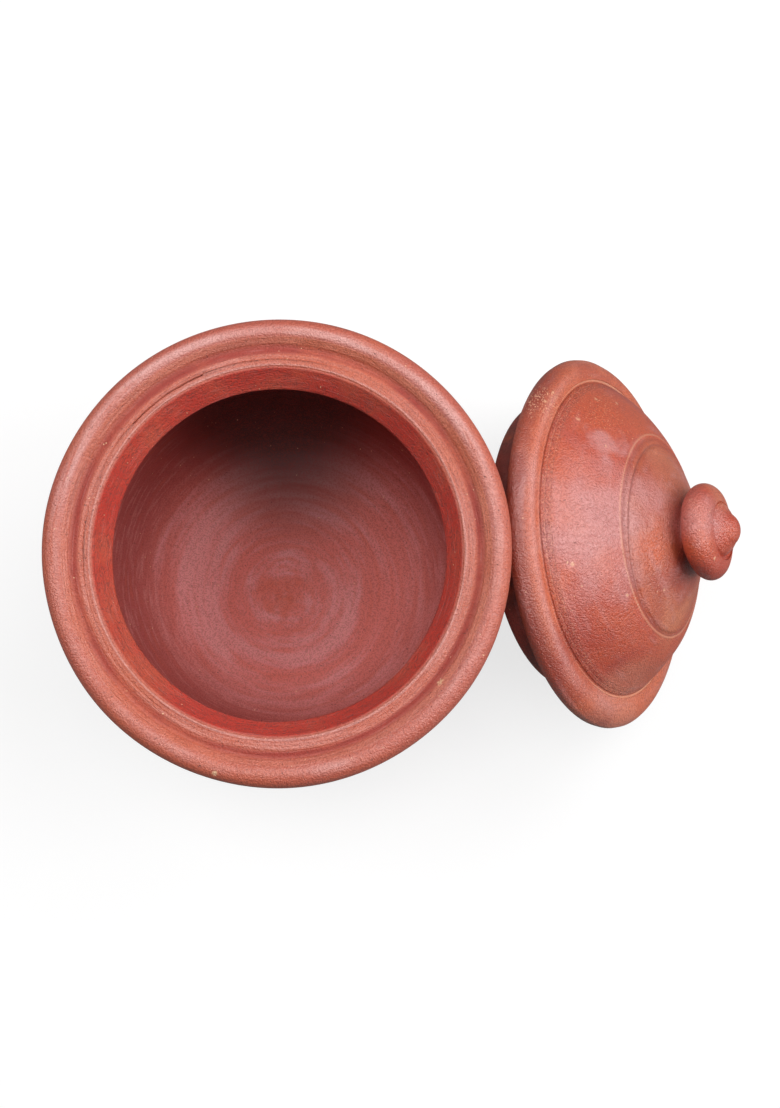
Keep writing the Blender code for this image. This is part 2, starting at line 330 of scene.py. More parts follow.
def clay_skin_group():
    """The skin of fired clay: leathery grain, open pores, pale grit and slow clouds of colour."""
    tree, start, end = group_of(
        "clay_skin",
        [
            ("Position", "NodeSocketVector", None),
            ("Grain", "NodeSocketFloat", 800.0),
            ("Pores", "NodeSocketFloat", 700.0),
            ("Grit", "NodeSocketFloat", 420.0),
            ("Clouds", "NodeSocketFloat", 28.0),
        ],
        [
            ("Grain", "NodeSocketFloat"),
            ("Creases", "NodeSocketFloat"),
            ("Pores", "NodeSocketFloat"),
            ("Grit", "NodeSocketFloat"),
            ("Clouds", "NodeSocketFloat"),
        ],
    )
    nodes, links = tree.nodes, tree.links
    drift = add(nodes, "ShaderNodeTexNoise", (-760, 420), "drift")
    drift.inputs["Scale"].default_value = 350.0
    pull = add(nodes, "ShaderNodeVectorMath", (-580, 420), operation="MULTIPLY_ADD")
    pull.inputs[1].default_value = (0.0022, 0.0022, 0.0022)
    pebbles = add(nodes, "ShaderNodeTexVoronoi", (-400, 420), "leathery grain", feature="SMOOTH_F1")
    pebbles.inputs["Smoothness"].default_value = 0.6
    crumbs = add(nodes, "ShaderNodeTexNoise", (-400, 200), "crumbs")
    crumbs.inputs["Detail"].default_value = 3.0
    crumbs.inputs["Roughness"].default_value = 0.6
    grain = add(nodes, "ShaderNodeMath", (-100, 400), operation="SUBTRACT")
    creases = add(nodes, "ShaderNodeMapRange", (100, 500), interpolation_type="SMOOTHSTEP")
    creases.inputs["From Min"].default_value = 0.10
    creases.inputs["From Max"].default_value = -0.18
    links.new(start.outputs["Position"], drift.inputs["Vector"])
    links.new(drift.outputs["Color"], pull.inputs[0])
    links.new(start.outputs["Position"], pull.inputs[2])
    links.new(pull.outputs[0], pebbles.inputs["Vector"])
    links.new(start.outputs["Grain"], pebbles.inputs["Scale"])
    links.new(pull.outputs[0], crumbs.inputs["Vector"])
    links.new(start.outputs["Grain"], crumbs.inputs["Scale"])
    links.new(crumbs.outputs[0], grain.inputs[0])
    links.new(pebbles.outputs["Distance"], grain.inputs[1])
    links.new(grain.outputs[0], end.inputs["Grain"])
    links.new(grain.outputs[0], creases.inputs["Value"])
    links.new(creases.outputs["Result"], end.inputs["Creases"])

    clouds = add(nodes, "ShaderNodeTexNoise", (-400, -500), "clouds")
    clouds.inputs["Detail"].default_value = 5.0
    clouds.inputs["Roughness"].default_value = 0.6
    links.new(start.outputs["Position"], clouds.inputs["Vector"])
    links.new(start.outputs["Clouds"], clouds.inputs["Scale"])
    links.new(clouds.outputs[0], end.inputs["Clouds"])

    for label, height, low, high in (("Pores", 0, 0.72, 0.77), ("Grit", -220, 0.775, 0.81)):
        flecks = add(nodes, "ShaderNodeTexNoise", (-400, height), label.lower())
        flecks.inputs["Detail"].default_value = 1.0
        sharp = add(nodes, "ShaderNodeMapRange", (-100, height), interpolation_type="SMOOTHSTEP")
        sharp.inputs["From Min"].default_value = low
        sharp.inputs["From Max"].default_value = high
        links.new(start.outputs["Position"], flecks.inputs["Vector"])
        links.new(start.outputs[label], flecks.inputs["Scale"])
        links.new(flecks.outputs[0], sharp.inputs["Value"])
        links.new(sharp.outputs["Result"], end.inputs[label])
    return tree


def patch_group():
    """A soft ragged patch round one point: where a thumb rubbed the clay, where a grain broke out, and
    where light or shade is painted.
    """
    tree, start, end = group_of(
        "patch",
        [
            ("Position", "NodeSocketVector", None),
            ("Middle", "NodeSocketVector", (0.0, 0.0, 0.0)),
            ("Stretch", "NodeSocketVector", (1.0, 1.0, 1.0)),
            ("Reach", "NodeSocketFloat", 0.003),
            ("Ragged", "NodeSocketFloat", 300.0),
        ],
        [("Patch", "NodeSocketFloat")],
    )
    nodes, links = tree.nodes, tree.links
    offset = add(nodes, "ShaderNodeVectorMath", (-700, 100), operation="SUBTRACT")
    shaped = add(nodes, "ShaderNodeVectorMath", (-520, 100), operation="DIVIDE")
    away = add(nodes, "ShaderNodeVectorMath", (-340, 100), "distance", operation="LENGTH")
    share = add(nodes, "ShaderNodeMath", (-160, 100), operation="DIVIDE")
    edge = add(nodes, "ShaderNodeTexNoise", (-340, -200), "ragged edge")
    edge.inputs["Detail"].default_value = 3.0
    worn = add(nodes, "ShaderNodeMath", (60, 0), operation="MULTIPLY_ADD")
    worn.inputs[1].default_value = 2.4
    soft = add(nodes, "ShaderNodeMapRange", (300, 0), interpolation_type="SMOOTHSTEP")
    soft.inputs["From Min"].default_value = 2.4
    soft.inputs["From Max"].default_value = 1.5
    links.new(start.outputs["Position"], offset.inputs[0])
    links.new(start.outputs["Middle"], offset.inputs[1])
    links.new(offset.outputs[0], shaped.inputs[0])
    links.new(start.outputs["Stretch"], shaped.inputs[1])
    links.new(shaped.outputs[0], away.inputs[0])
    links.new(away.outputs["Value"], share.inputs[0])
    links.new(start.outputs["Reach"], share.inputs[1])
    links.new(start.outputs["Position"], edge.inputs["Vector"])
    links.new(start.outputs["Ragged"], edge.inputs["Scale"])
    links.new(edge.outputs[0], worn.inputs[0])
    links.new(share.outputs[0], worn.inputs[2])
    links.new(worn.outputs[0], soft.inputs["Value"])
    links.new(soft.outputs["Result"], end.inputs["Patch"])
    return tree


turned_lines = turned_lines_group()
clay_skin = clay_skin_group()
patch = patch_group()


def screen(red, green, blue):
    """A colour as a screen shows it, 0 to 255, turned into the light that a shader works with."""
    shares = [value / 255 for value in (red, green, blue)]
    return [v / 12.92 if v <= 0.04045 else ((v + 0.055) / 1.055) ** 2.4 for v in shares] + [1.0]


class Clay:
    """The material of one fired piece, put together layer by layer over its plain clay colour."""

    def __init__(self, name, plain, roughness):
        self.material = bpy.data.materials.new(name)
        self.material.use_nodes = True
        self.nodes, self.links = self.material.node_tree.nodes, self.material.node_tree.links
        self.shader = self.nodes["Principled BSDF"]
        self.shader.inputs["Metallic"].default_value = 0.0
        self.shader.inputs["Specular IOR Level"].default_value = 1.0
        wheel = add(self.nodes, "ShaderNodeAttribute", (-2200, 0), attribute_name="place_on_wheel")
        outline = add(self.nodes, "ShaderNodeAttribute", (-2200, -200), attribute_name="along_outline")
        self.place, self.along = wheel.outputs["Vector"], outline.outputs["Fac"]
        self.colour, self.column = None, -1500
        self.plain = plain
        self.height, self.rough = None, roughness

    def group(self, tree, place=None, **values):
        """One of the shared effects, with this piece's own values."""
        node = add(self.nodes, "ShaderNodeGroup", (self.column, 300), tree.name)
        node.node_tree = tree
        for name, value in values.items():
            node.inputs[name].default_value = value
        self.links.new(place or self.place, node.inputs["Position"])
        self.column += 60
        return node

    def spread(self, value, low, high, share=1.0):
        """A mask that runs from 0 at low to share at high."""
        node = add(self.nodes, "ShaderNodeMapRange", (self.column, 100), interpolation_type="SMOOTHSTEP")
        node.inputs["From Min"].default_value = low
        node.inputs["From Max"].default_value = high
        node.inputs["To Max"].default_value = share
        self.links.new(value, node.inputs["Value"])
        return node.outputs["Result"]

    def zone(self, start, end, soft):
        """A mask over the stretch of the outline from start to end, with soft ends."""
        after_start = self.spread(self.along, start - soft, start + soft)
        before_end = self.spread(self.along, end + soft, end - soft)
        return self.maths("MULTIPLY", after_start, before_end)

    def shifted(self, x, y, z=0.0):
        """The place on the wheel, counted from another middle."""
        node = add(self.nodes, "ShaderNodeVectorMath", (self.column, 500), operation="SUBTRACT")
        node.inputs[1].default_value = (x, y, z)
        self.links.new(self.place, node.inputs[0])
        return node.outputs[0]

    def maths(self, operation, first, second):
        """One step of arithmetic on two masks, or on a mask and a number."""
        node = add(self.nodes, "ShaderNodeMath", (self.column, -100), operation=operation)
        for socket, value in zip(node.inputs, (first, second)):
            if isinstance(value, (int, float)):
                socket.default_value = value
            else:
                self.links.new(value, socket)
        return node.outputs[0]

    def product(self, first, *others):
        """Masks and shares multiplied with one another."""
        for other in others:
            first = self.maths("MULTIPLY", first, other)
        return first

    def tint(self, mask, colour):
        """Lays a colour over what is there, as strongly as the mask says."""
        node = add(self.nodes, "ShaderNodeMix", (self.column, -300), data_type="RGBA")
        if self.colour is None:
            node.inputs[6].default_value = self.plain
        else:
            self.links.new(self.colour, node.inputs[6])
        node.inputs[7].default_value = colour
        self.links.new(mask, node.inputs["Factor"])
        self.colour = node.outputs[2]
        self.column += 60

    def raise_by(self, mask, metres):
        """Adds relief: the mask times a height."""
        part = self.maths("MULTIPLY", mask, metres)
        self.height = part if self.height is None else self.maths("ADD", self.height, part)

    def rougher(self, mask, roughness):
        """Makes the surface as rough as roughness, where the mask is strong."""
        node = add(self.nodes, "ShaderNodeMix", (self.column, -500), data_type="FLOAT")
        if isinstance(self.rough, (int, float)):
            node.inputs[2].default_value = self.rough
        else:
            self.links.new(self.rough, node.inputs[2])
        node.inputs[3].default_value = roughness
        self.links.new(mask, node.inputs["Factor"])
        self.rough = node.outputs[0]

    def finish(self):
        """Joins the layers to the shader."""
        self.links.new(self.colour, self.shader.inputs["Base Color"])
        self.links.new(self.rough, self.shader.inputs["Roughness"])
        bump = add(self.nodes, "ShaderNodeBump", (self.column, -700))
        bump.inputs["Distance"].default_value = 1.0
        self.links.new(self.height, bump.inputs["Height"])
        self.links.new(bump.outputs["Normal"], self.shader.inputs["Normal"])
        self.shader.location = (self.column + 300, 0)
        self.nodes["Material Output"].location = (self.column + 600, 0)
        return self.material


POT_CLAY = screen(196, 98, 76)
POT_LIP = screen(198, 98, 78)
POT_SLOPE = screen(218, 128, 108)
POT_SEAT = screen(160, 48, 32)
POT_LEDGE = screen(200, 98, 72)
POT_THROAT = screen(206, 42, 12)
POT_WALL_INSIDE = screen(178, 80, 74)
POT_FLOOR = screen(232, 126, 116)
POT_MAUVE = screen(244, 168, 168)
POT_CORE = screen(216, 98, 66)
POT_ORANGE = screen(206, 100, 62)
POT_PALE_AND_SHEEN = screen(226, 164, 156)
POT_PAINTED_LIGHT = screen(252, 158, 128)
POT_LINE = screen(126, 44, 34)
POT_CREASE = screen(150, 56, 42)
POT_PORE = screen(104, 44, 34)
POT_PAINTED_SHADOW = screen(38, 16, 16)
POT_GRIT = screen(244, 196, 156)
FLOOR_MIDDLE = (-0.0040, -0.0100)
FLOOR_EDGE_PLACE, WALL_FOOT_PLACE = 0.050, 0.088
# Each pale chip: its middle on the wheel and its reach.
POT_CHIPS = (
    ((0.0620, -0.0572, 0.1437), 0.0016),
    ((-0.0294, -0.0867, 0.1469), 0.0012),
)

clay = Clay("pot_terracotta", POT_CLAY, 0.44)
skin = clay.group(clay_skin, Grain=1400.0, Pores=900.0, Grit=600.0, Clouds=26.0)
fine = clay.group(turned_lines, Across=1500.0, Around=5.0, Detail=2.0, Waver=0.2)
wide = clay.group(turned_lines, Across=260.0, Around=2.0, Detail=3.0, Waver=0.2)
floor_place = clay.shifted(*FLOOR_MIDDLE)
swirl = clay.group(turned_lines, floor_place, Across=95.0, Around=0.55, Detail=3.0, Waver=0.1)
brush = clay.group(turned_lines, floor_place, Across=520.0, Around=1.3, Detail=3.0, Waver=0.1)

inside = clay.spread(clay.along, THROAT_PLACE + 0.001, THROAT_PLACE - 0.001)
on_floor = clay.spread(clay.along, WALL_FOOT_PLACE, FLOOR_EDGE_PLACE)
throat_zone = clay.zone(THROAT_PLACE, LEDGE_PLACE - 0.0006, 0.0010)
ledge_zone = clay.zone(LEDGE_PLACE + 0.0002, SEAT_PLACE - 0.0020, 0.0006)
edge_zone = clay.zone(LEDGE_PLACE + 0.0006, LEDGE_PLACE + 0.0018, 0.0004)
seat_zone = clay.zone(SEAT_PLACE - 0.0018, SEAT_PLACE + 0.0008, 0.0010)
slope_zone = clay.zone(SEAT_PLACE + 0.0016, BEAD_PLACE, 0.0006)
lip_zone = clay.zone(BEAD_PLACE, NECK_PLACE, 0.0008)
crest_zone = clay.zone(CREST_PLACE - 0.0020, CREST_PLACE + 0.0024, 0.0016)
throat_and_ledge = clay.maths("MAXIMUM", throat_zone, ledge_zone)
seat_and_slope = clay.maths("MAXIMUM", seat_zone, slope_zone)
worked = clay.maths("MAXIMUM", throat_and_ledge, seat_and_slope)

clay.tint(inside, POT_WALL_INSIDE)
clay.tint(on_floor, POT_FLOOR)
# The throat's deep orange is partly the clay's own colour and partly painted red bounce light.
clay.tint(throat_zone, POT_THROAT)
# The seat's dark red is painted shade in the groove.
clay.tint(seat_zone, POT_SEAT)
clay.tint(slope_zone, POT_SLOPE)
clay.tint(ledge_zone, POT_LEDGE)
# Painted light on the slope of the lip, towards the right and the far side.
painted_light_patch = clay.group(patch, Middle=(0.050, 0.070, 0.147), Reach=0.110, Ragged=20.0)
clay.tint(clay.product(slope_zone, painted_light_patch.outputs["Patch"], 0.75), POT_PAINTED_LIGHT)
clay.tint(lip_zone, POT_LIP)
sponged = clay.spread(swirl.outputs["Lines"], 0.44, 0.62, 0.68)
clay.tint(clay.product(on_floor, sponged), POT_MAUVE)
clay.tint(clay.product(inside, clay.spread(brush.outputs["Lines"], 0.50, 0.66, 0.26)), POT_MAUVE)
clay.tint(clay.product(inside, clay.spread(brush.outputs["Lines"], 0.48, 0.28, 0.3)), POT_CORE)
# Painted shadow on the inside wall under the far side of the throat, where the lip's shadow falls.
painted_shadow_patch = clay.group(patch, Middle=(0.0, 0.090, 0.042), Stretch=(0.7, 1.0, 1.0), Reach=0.074, Ragged=1.5)
clay.tint(clay.product(inside, painted_shadow_patch.outputs["Patch"], 0.92), POT_PAINTED_SHADOW)
core = clay.group(patch, floor_place, Reach=0.0145, Ragged=60.0)
clay.tint(clay.product(core.outputs["Patch"], 0.75), POT_CORE)
above_throat = clay.spread(clay.along, THROAT_PLACE - 0.001, THROAT_PLACE + 0.001)
fire_clouds = clay.spread(skin.outputs["Clouds"], 0.42, 0.66, 0.5)
clay.tint(clay.product(above_throat, fire_clouds), POT_ORANGE)
# Painted sheen along the lip's crest, strongest towards the left and the far side, broken by streaks.
painted_sheen_patch = clay.group(patch, Middle=(-0.030, 0.050, 0.148), Reach=0.140, Ragged=20.0)
streaks = clay.spread(wide.outputs["Lines"], 0.30, 0.60, 0.88)
clay.tint(clay.product(crest_zone, painted_sheen_patch.outputs["Patch"], streaks), POT_PALE_AND_SHEEN)
# Pale streaks on the ledge, and a painted highlight along its rounded inner edge.
clay.tint(clay.product(ledge_zone, clay.spread(wide.outputs["Lines"], 0.46, 0.62, 0.25)), POT_PALE_AND_SHEEN)
clay.tint(clay.product(edge_zone, 0.45), POT_PALE_AND_SHEEN)
# Painted shade in the low parts of the throwing lines and of the torn lines in the throat, and a painted
# highlight on the ridges of the throwing lines.
clay.tint(clay.product(worked, clay.spread(fine.outputs["Lines"], 0.47, 0.34, 0.35)), POT_LINE)
torn = clay.group(turned_lines, Across=800.0, Around=26.0, Detail=4.0, Waver=1.4)
clay.tint(clay.product(throat_zone, clay.spread(torn.outputs["Lines"], 0.47, 0.36, 0.7)), POT_LINE)
clay.tint(clay.product(worked, clay.spread(fine.outputs["Lines"], 0.55, 0.70, 0.2)), POT_PALE_AND_SHEEN)
# Painted shade in the low creases of the grain.
clay.tint(clay.product(skin.outputs["Creases"], 0.35), POT_CREASE)
clay.tint(clay.product(skin.outputs["Pores"], 0.7), POT_PORE)
clay.tint(clay.product(skin.outputs["Grit"], 0.85), POT_GRIT)
for middle, reach in POT_CHIPS:
    chip = clay.group(patch, Middle=middle, Reach=reach, Ragged=900.0)
    clay.tint(clay.product(chip.outputs["Patch"], 0.9), POT_GRIT)

clay.rougher(inside, 0.85)
clay.rougher(clay.maths("MAXIMUM", seat_zone, throat_zone), 0.80)
clay.rougher(clay.spread(skin.outputs["Clouds"], 0.35, 0.65, 0.4), 0.62)
clay.raise_by(skin.outputs["Grain"], 0.00027)
clay.raise_by(clay.product(worked, fine.outputs["Lines"]), 0.00035)
clay.raise_by(clay.product(throat_zone, torn.outputs["Lines"]), 0.0010)
clay.raise_by(wide.outputs["Lines"], 0.00030)
clay.raise_by(skin.outputs["Pores"], -0.00015)
pot_clay = clay.finish()
pot.data.materials.append(pot_clay)
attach(pot, "pot")
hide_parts("pot")

# The lid. The same clay, thrown upside down as a shallow bowl with a locating skirt, then turned
# over and cut on the wheel: a rounded rim, a dome with scored lines, a pinched neck and a fat ring
# of a knob with a small cone in its top. It is off the pot, stands on its edge and leans on the lip.
LID_SIDES = 300
LID_RADIUS, LID_EDGE_ROUND = 0.084, 0.0035
SKIRT_RADIUS, SKIRT_DEPTH, SKIRT_THICKNESS = 0.0662, 0.0200, 0.0065
SKIRT_FILLET, SKIRT_END_ROUND = 0.0015, 0.0020
RIM_CREST = (0.0752, 0.0073)
DOME_FOOT = (0.0710, 0.0074)
CROWN = (0.0460, 0.0290)
COVE = (0.0190, 0.0412)
LID_WALL = 0.0078
# Each line round the dome's foot: its radius, width and depth.
FOOT_LINES = ((0.0682, 0.0005, 0.00008), (0.0697, 0.0006, 0.00012), (0.0712, 0.0010, 0.0005))
# Each line round the cap: its middle, radius, width and depth. A depth below zero is a raised burr.
CROWN_LINES = (
    ((0.0029, -0.0015), 0.0424, 0.0016, 0.00060),
    ((0.0019, 0.0000), 0.0436, 0.0027, 0.00034),
    ((0.0015, 0.0005), 0.0452, 0.0013, -0.00022),
)
NECK_OF_KNOB, NECK_FLARE, NECK_LIFT = 0.0117, 0.0030, 0.0010
KNOB_RADIUS, KNOB_HEIGHT = 0.0219, 0.0514
KNOB_RING_WIDTH, KNOB_RING_HEIGHT = 0.0080, 0.0069
KNOB_GROOVE = (0.0121, 0.0564)
CONE_FOOT = (0.0113, 0.0577)
KNOB_LEAN, GROOVE_FILL, KNOB_LUMPS = 0.0017, 0.0011, 0.00010
LID_WARP, LID_RIPPLE, FACET_DEPTH = 0.00016, 0.00008, 0.00008
TIP_HEIGHT, TIP_ROUND = 0.0645, 0.0085
EDGE_DROP, TOUCH_GAP = 0.0061, 0.0003
LINE_STEP, CAP_STEP, KNOB_STEP, DOME_STEP = 0.0002, 0.0003, 0.0006, 0.0011
# What sat off the wheel's middle: the radii between which it fades in and out, how far, which way.
CONE_SHIFT = ((-0.001, 0.0, 0.009, 0.018), 0.0018, 0)
DOME_FOOT_SHIFT = ((0.050, 0.068, 0.073, 0.083), 0.0022, 135)

lid_outline = arc((0.0, TIP_HEIGHT - TIP_ROUND), TIP_ROUND, 90, 38, 8) + [CONE_FOOT, KNOB_GROOVE]
for across, up in arc((0.0, 0.0), 1.0, 100, -110, 40):
    lid_outline.append((KNOB_RADIUS - KNOB_RING_WIDTH * (1 - across), KNOB_HEIGHT + KNOB_RING_HEIGHT * up))
neck_foot = (NECK_OF_KNOB + NECK_FLARE, COVE[1] + NECK_LIFT + NECK_FLARE)
lid_top = arc(neck_foot, NECK_FLARE, 200, 262, 6) + [COVE]
lid_top += bend(COVE, (0.33, 0.29), (0.67, 0.63), CROWN, 12) + [CROWN]
lid_top += bend(CROWN, (0.4, 0.23), (0.78, 0.64), DOME_FOOT, 24) + [DOME_FOOT, RIM_CREST]
lid_edge = arc((LID_RADIUS - LID_EDGE_ROUND, 0.0), LID_EDGE_ROUND, 45, -90, 20)
lid_top += bend(RIM_CREST, (0.42, 0.06), (0.85, 0.55), lid_edge[0], 8)
skirt_inside = SKIRT_RADIUS - SKIRT_THICKNESS
skirt_end = SKIRT_END_ROUND - SKIRT_DEPTH
under_edge = -LID_EDGE_ROUND - SKIRT_FILLET
lid_under = arc((SKIRT_RADIUS + SKIRT_FILLET, under_edge), SKIRT_FILLET, 90, 180, 6)
lid_under += arc((SKIRT_RADIUS - SKIRT_END_ROUND, skirt_end), SKIRT_END_ROUND, 0, -90, 6)
lid_under += arc((skirt_inside + SKIRT_END_ROUND, skirt_end), SKIRT_END_ROUND, -90, -180, 6)
hollow_foot, hollow_top = (skirt_inside, under_edge), (0.0, COVE[1] - LID_WALL)
lid_under += [hollow_foot] + bend(hollow_foot, (0.0, 0.58), (0.53, 1.0), hollow_top, 40) + [hollow_top]
top_radii, top_heights = zip(*sorted(lid_top))


def lid_step(radius, height):
    """Close points on the knob and at each scored line, and wide ones under the lid."""
    on_top = height > np.interp(radius, top_radii, top_heights) - 0.002
    near_line = min(abs(radius - line[0]) / line[1] for line in FOOT_LINES) < 2.0
    if on_top and radius > 0.030 and near_line:
        return LINE_STEP
    if on_top and 0.0375 < radius < 0.0490:
        return CAP_STEP
    if height > 0.0425 or (on_top and radius > 0.068):
        return KNOB_STEP
    return DOME_STEP if on_top else WIDE_STEP


lid_outline = softened(lid_outline + lid_top + lid_edge + lid_under, lid_step, soft=0.0003)
LINE_PLACES = []
for radius, width, depth in FOOT_LINES:
    LINE_PLACES.append(spot(lid_outline, radius, np.interp(radius, top_radii, top_heights)))
for place, (radius, width, depth) in zip(LINE_PLACES, FOOT_LINES):
    lid_outline = cut(lid_outline, place, width, depth, burr=depth / 3)
CROWN_PLACE = spot(lid_outline, *CROWN)
GROOVE_PLACE = spot(lid_outline, *KNOB_GROOVE)
COVE_PLACE = spot(lid_outline, *COVE)
CREST_OF_RIM_PLACE = spot(lid_outline, *RIM_CREST)
RIM_PLACE = spot(lid_outline, LID_RADIUS, 0.0)
SKIRT_END_PLACE = spot(lid_outline, SKIRT_RADIUS, skirt_end)


def lid_hand(radius, height, along, turn):
    """A knob and rim that aren't quite true, a part-filled groove, a faceted dome and the cap's lines."""
    top = fade(along, COVE_PLACE, COVE_PLACE + 0.010) * (1 - fade(along, RIM_PLACE, RIM_PLACE + 0.003))
    uneven = LID_WARP * (1 - np.cos(2 * turn + 0.4)) + LID_RIPPLE * (1 - np.cos(5 * turn + 1.3))
    facet = FACET_DEPTH * (1 - np.cos(3 * turn + 150 * along)) * (1 - np.cos(200 * along))
    knob = (1 - fade(along, COVE_PLACE - 0.010, COVE_PLACE)) * fade(along, 0.010, 0.018)
    lump = KNOB_LUMPS * (1 - np.cos(3 * turn + 130 * along + 0.7))
    by_groove = np.exp(-(((along - GROOVE_PLACE + 0.0008) / 0.0026) ** 2))
    fill = GROOVE_FILL * by_groove * fade(np.cos(turn - 0.7), -0.3, 0.8)
    on_ring = fade(height, 0.047, 0.056) * fade(radius, 0.009, 0.013)
    lean = KNOB_LEAN * ((1 + np.cos(turn)) / 2) ** 2 * on_ring
    scored = 0.0
    for (x, y), ring_radius, width, depth in CROWN_LINES:
        from_line = np.hypot(radius * np.cos(turn) - x, radius * np.sin(turn) - y) - ring_radius
        scored = scored + depth * np.exp(-((2 * from_line / width) ** 2))
    on_dome = fade(along, COVE_PLACE, COVE_PLACE + 0.004) * (1 - fade(along, RIM_PLACE - 0.008, RIM_PLACE))
    return top * (uneven + facet) + knob * (lump + uneven) - fill + lean + on_dome * scored


lid = thrown("lid_clay", lid_outline, LID_SIDES, lid_hand)
places = points_of(lid)
from_axis = np.hypot(places[:, 0], places[:, 1])
on_cone = fade(places[:, 2], KNOB_HEIGHT, KNOB_HEIGHT + 0.004)
for (radii, shift, way), where in ((CONE_SHIFT, on_cone), (DOME_FOOT_SHIFT, 1.0)):
    inner, full_from, full_to, outer = radii
    share = fade(from_axis, inner, full_from) * (1 - fade(from_axis, full_to, outer)) * where
    moved(lid, share, shift * math.cos(math.radians(way)), shift * math.sin(math.radians(way)))
edge_radius = LID_RADIUS - LID_EDGE_ROUND
upper_edge_height = POT_HEIGHT - LIP_ROUND - EDGE_DROP
tilt = math.asin((upper_edge_height - LID_EDGE_ROUND) / (2 * edge_radius))
apart = LIP_ROUND + LID_EDGE_ROUND + TOUCH_GAP
upper_edge_x = LIP_RADIUS - LIP_ROUND + math.sqrt(apart ** 2 - EDGE_DROP ** 2)
lid_middle_height = (upper_edge_height + LID_EDGE_ROUND) / 2
lid_middle = Vector((upper_edge_x + edge_radius * math.cos(tilt), 0.0, lid_middle_height))
lid.data.transform(Matrix.Translation(lid_middle) @ Matrix.Rotation(tilt, 4, "Y"))
lid.data.update()

LID_CLAY = screen(194, 78, 52)
LID_RIM = screen(220, 114, 79)
LID_EDGE = screen(210, 108, 70)
LID_CAP = screen(188, 92, 62)
LID_ORANGE = screen(212, 94, 50)
LID_DEEP_RED_AND_SHADE = screen(172, 58, 38)
LID_PAINTED_SHADE = screen(128, 36, 26)
LID_PALE = screen(226, 140, 114)
LID_PALE_AND_SHEEN = screen(220, 166, 166)
LID_RAW = screen(236, 172, 138)
LID_LINE = screen(120, 44, 32)
LID_CREASE = screen(150, 52, 34)
LID_PAINTED_SHADE_UNDER_RIM = screen(104, 40, 30)
LID_UNDER = screen(176, 92, 72)
LID_PORE = screen(112, 48, 36)
LID_GRIT = screen(244, 190, 150)
LID_OLIVE = screen(222, 134, 96)
# The orange, olive and pale patches are the fire's colour; the pale pink ones on the dome and knob are
# painted sheen; the deep red and dark ones low on the dome, the rim and the knob are painted shade.
# Each patch of colour from the fire or of painted light and shade: its middle on the wheel, reach, colour
# and strength.
FIRE_AND_PAINTED_LIGHT_MARKS = (
    ((-0.042, -0.042, 0.016), 0.024, LID_DEEP_RED_AND_SHADE, 0.30),
    ((0.004, -0.056, 0.018), 0.024, LID_ORANGE, 0.45),
    ((-0.025, 0.056, 0.016), 0.022, LID_ORANGE, 0.50),
    ((0.002, -0.034, 0.034), 0.018, LID_OLIVE, 0.65),
    ((-0.004, 0.034, 0.034), 0.016, LID_OLIVE, 0.35),
    ((-0.054, 0.002, 0.020), 0.034, LID_PALE_AND_SHEEN, 0.48),
    ((-0.020, 0.004, 0.053), 0.016, LID_PALE_AND_SHEEN, 0.30),
    ((0.002, -0.020, 0.047), 0.016, LID_DEEP_RED_AND_SHADE, 0.75),
    ((-0.055, -0.055, 0.006), 0.026, LID_DEEP_RED_AND_SHADE, 0.40),
    ((-0.006, -0.078, 0.006), 0.026, LID_PALE, 0.55),
    ((-0.012, -0.018, 0.048), 0.010, LID_PAINTED_SHADE, 0.55),
    ((0.002, 0.017, 0.054), 0.012, LID_OLIVE, 0.45),
)
LID_CHIPS = (
    ((-0.0387, -0.0260, 0.0282), 0.0009),
    ((-0.0110, -0.0124, 0.0570), 0.0009),
    ((-0.0619, -0.0136, 0.0161), 0.0010),
    ((-0.0177, -0.0244, 0.0360), 0.0009),
    ((-0.0239, 0.0598, 0.0148), 0.0010),
    ((-0.0121, 0.0588, 0.0187), 0.0009),
    ((-0.0427, 0.0490, 0.0144), 0.0010),
    ((-0.0555, 0.0576, 0.0055), 0.0010),
    ((-0.0488, 0.0617, 0.0062), 0.0010),
)


def ring_line_group():
    """A thin band round its own middle, for a line that was cut while the piece sat off centre."""
    tree, start, end = group_of(
        "ring_line",
        [
            ("Position", "NodeSocketVector", None),
            ("Middle", "NodeSocketVector", (0.0, 0.0, 0.0)),
            ("Radius", "NodeSocketFloat", 0.04),
            ("Width", "NodeSocketFloat", 0.001),
        ],
        [("Line", "NodeSocketFloat")],
    )
    nodes, links = tree.nodes, tree.links
    offset = add(nodes, "ShaderNodeVectorMath", (-700, 0), operation="SUBTRACT")
    flat = add(nodes, "ShaderNodeVectorMath", (-520, 0), operation="MULTIPLY")
    flat.inputs[1].default_value = (1.0, 1.0, 0.0)
    length = add(nodes, "ShaderNodeVectorMath", (-340, 0), operation="LENGTH")
    gap = add(nodes, "ShaderNodeMath", (-160, 0), operation="SUBTRACT")
    plain_gap = add(nodes, "ShaderNodeMath", (0, 0), operation="ABSOLUTE")
    share = add(nodes, "ShaderNodeMath", (160, 0), operation="DIVIDE")
    soft = add(nodes, "ShaderNodeMapRange", (340, 0), interpolation_type="SMOOTHSTEP")
    soft.inputs["From Min"].default_value = 1.0
    soft.inputs["From Max"].default_value = 0.0
    links.new(start.outputs["Position"], offset.inputs[0])
    links.new(start.outputs["Middle"], offset.inputs[1])
    links.new(offset.outputs[0], flat.inputs[0])
    links.new(flat.outputs[0], length.inputs[0])
    links.new(length.outputs["Value"], gap.inputs[0])
    links.new(start.outputs["Radius"], gap.inputs[1])
    links.new(gap.outputs[0], plain_gap.inputs[0])
    links.new(plain_gap.outputs[0], share.inputs[0])
    links.new(start.outputs["Width"], share.inputs[1])
    links.new(share.outputs[0], soft.inputs["Value"])
    links.new(soft.outputs["Result"], end.inputs["Line"])
    return tree


ring_line = ring_line_group()

